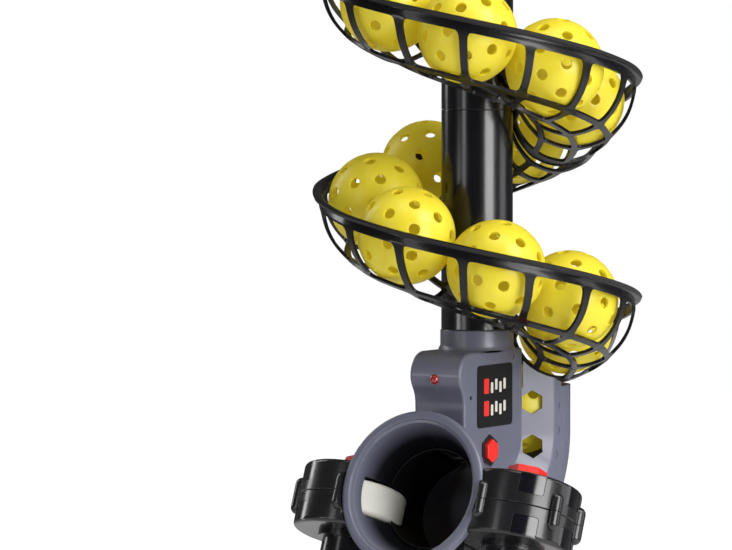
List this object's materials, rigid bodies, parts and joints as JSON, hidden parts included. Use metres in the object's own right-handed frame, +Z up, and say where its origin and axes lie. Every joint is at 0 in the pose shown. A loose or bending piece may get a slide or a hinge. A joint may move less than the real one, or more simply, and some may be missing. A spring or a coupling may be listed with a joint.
{
  "type": "baseball pitching machine",
  "caption": "Two-wheel ball pitching machine with a spiral ball feeder on a pole, a pitched barrel and a folding height-adjustable tripod.",
  "frame": {"origin": "on the floor at the centre of the machine's footprint; the column stands 80 mm behind it, at Y = +0.08 m", "axes": "+Z up, the ball leaves towards -Y, +X is the side with the label plate and the power button"},
  "size_m": [0.5882, 0.514, 1.1107],
  "materials": {
    "grey_shell": "satin moulded",
    "black_satin": "satin moulded",
    "black_gloss": "gloss",
    "trough_black": "satin moulded",
    "ball_yellow": "satin",
    "red_plastic": "satin",
    "red_lens": "gloss",
    "wheel_foam": "matt",
    "drive_plastic": "satin",
    "bright_steel": "brushed",
    "brass_gear": "machined",
    "board_green": "satin",
    "pot_blue": "satin",
    "cell_wrap": "printed wrap",
    "black_enamel": "powder coat",
    "grey_enamel": "satin",
    "foot_rubber": "matt"
  },
  "bodies": {
    "stand": {"outer_tube": "black_enamel", "height_clamp": "black_satin", "leg_hub": "black_satin", "leg_pins": "bright_steel"},
    "mast": {"inner_tube": "grey_enamel", "tilt_yoke": "black_satin", "tilt_bolt": "bright_steel"},
    "head": {"left_head_shell": "grey_shell", "right_head_shell": "grey_shell", "left_chute_shell": "grey_shell", "right_chute_shell": "grey_shell", "left_barrel_shell": "grey_shell", "right_barrel_shell": "grey_shell", "head_screws": "bright_steel", "ball_guide": "black_gloss", "status_light": "red_lens", "control_board": "board_green", "label_plate": "black_gloss", "feed_motor": "bright_steel", "idler_pin": "bright_steel", "lower_pole": "black_gloss", "upper_pole": "black_gloss", "pole_cap": "black_gloss", "lower_trough": "trough_black", "upper_trough": "trough_black", "practice_balls": "ball_yellow", "left_upper_housing": "black_satin", "left_lower_housing": "black_satin", "right_upper_housing": "black_satin", "right_lower_housing": "black_satin", "housing_panels": "black_gloss", "wheel_motors": "bright_steel", "motor_pods": "black_satin", "speed_potentiometers": "pot_blue", "battery_box": "black_satin", "battery_cells": "cell_wrap", "tilt_tongue": "black_satin"},
    "left_wheel": {"left_wheel_tyre": "wheel_foam", "left_wheel_hub": "black_satin", "left_wheel_shaft": "bright_steel"},
    "right_wheel": {"right_wheel_tyre": "wheel_foam", "right_wheel_hub": "black_satin", "right_wheel_shaft": "bright_steel"},
    "left_dial": {"left_speed_dial": "red_plastic"},
    "right_dial": {"right_speed_dial": "red_plastic"},
    "button": {"power_button": "red_plastic"},
    "feed_wheel": {"feed_star": "drive_plastic", "feed_gear": "drive_plastic", "feed_axle": "bright_steel"},
    "idler": {"feed_idler": "drive_plastic"},
    "pinion": {"feed_pinion": "brass_gear"},
    "battery_lid": {"battery_door": "black_satin"},
    "tilt_handle": {"tilt_knob": "red_plastic"},
    "height_handle": {"height_knob": "red_plastic"},
    "front_leg_body": {"front_leg": "grey_enamel", "front_foot": "foot_rubber"},
    "left_leg_body": {"left_leg": "grey_enamel", "left_foot": "foot_rubber"},
    "right_leg_body": {"right_leg": "grey_enamel", "right_foot": "foot_rubber"}
  },
  "joints": [
    {"name": "column_height", "type": "slide", "parent": "stand", "child": "mast", "axis": [0, 0, 1], "range_m": [0, 0.15]},
    {"name": "head_tilt", "type": "hinge", "parent": "mast", "child": "head", "pos_m": [0, 0.08, 0.566], "axis": [1, 0, 0], "range_deg": [-12, 12]},
    {"name": "tilt_knob_turn", "type": "hinge", "parent": "mast", "child": "tilt_handle", "pos_m": [0.02, 0.08, 0.566], "axis": [1, 0, 0], "range_deg": [0, 270]},
    {"name": "height_knob_turn", "type": "hinge", "parent": "stand", "child": "height_handle", "pos_m": [0, 0.12, 0.475], "axis": [0, 1, 0], "range_deg": [0, 270]},
    {"name": "left_wheel_spin", "type": "hinge", "parent": "head", "child": "left_wheel", "pos_m": [-0.0697, 0.02068, 0.6492], "axis": [0, 0.3746, 0.9272], "continuous": true},
    {"name": "right_wheel_spin", "type": "hinge", "parent": "head", "child": "right_wheel", "pos_m": [0.0697, 0.02068, 0.6492], "axis": [0, 0.3746, 0.9272], "continuous": true},
    {"name": "left_dial_turn", "type": "hinge", "parent": "head", "child": "left_dial", "pos_m": [-0.0697, 0.02068, 0.6492], "axis": [0, 0.3746, 0.9272], "range_deg": [0, 270]},
    {"name": "right_dial_turn", "type": "hinge", "parent": "head", "child": "right_dial", "pos_m": [0.0697, 0.02068, 0.6492], "axis": [0, 0.3746, 0.9272], "range_deg": [0, 270]},
    {"name": "power_press", "type": "slide", "parent": "head", "child": "button", "axis": [-1, 0, 0], "range_m": [0, 0.0025], "stiffness_N_per_m": 400},
    {"name": "feed_star_spin", "type": "hinge", "parent": "head", "child": "feed_wheel", "pos_m": [0, 0.083, 0.7], "axis": [-1, 0, 0], "continuous": true},
    {"name": "feed_idler_spin", "type": "hinge", "parent": "head", "child": "idler", "pos_m": [-0.01475, 0.0612, 0.7195], "axis": [-1, 0, 0], "continuous": true},
    {"name": "feed_pinion_spin", "type": "hinge", "parent": "head", "child": "pinion", "pos_m": [-0.01475, 0.045, 0.734], "axis": [-1, 0, 0], "continuous": true},
    {"name": "battery_door_open", "type": "hinge", "parent": "head", "child": "battery_lid", "pos_m": [0, 0.03666, 0.54306], "axis": [1, 0, 0], "range_deg": [0, 95]},
    {"name": "front_leg_fold", "type": "hinge", "parent": "stand", "child": "front_leg_body", "pos_m": [0, 0.036, 0.225], "axis": [1, 0, 0], "range_deg": [0, 53]},
    {"name": "right_leg_fold", "type": "hinge", "parent": "stand", "child": "right_leg_body", "pos_m": [0.0381, 0.102, 0.225], "axis": [-0.5, 0.866, 0], "range_deg": [0, 53]},
    {"name": "left_leg_fold", "type": "hinge", "parent": "stand", "child": "left_leg_body", "pos_m": [-0.0381, 0.102, 0.225], "axis": [-0.5, -0.866, 0], "range_deg": [0, 53]}
  ],
  "couplings": [
    {"joint": "feed_idler_spin", "follows": "feed_star_spin", "ratio": -1.2941},
    {"joint": "feed_pinion_spin", "follows": "feed_star_spin", "ratio": 1.8333}
  ]
}
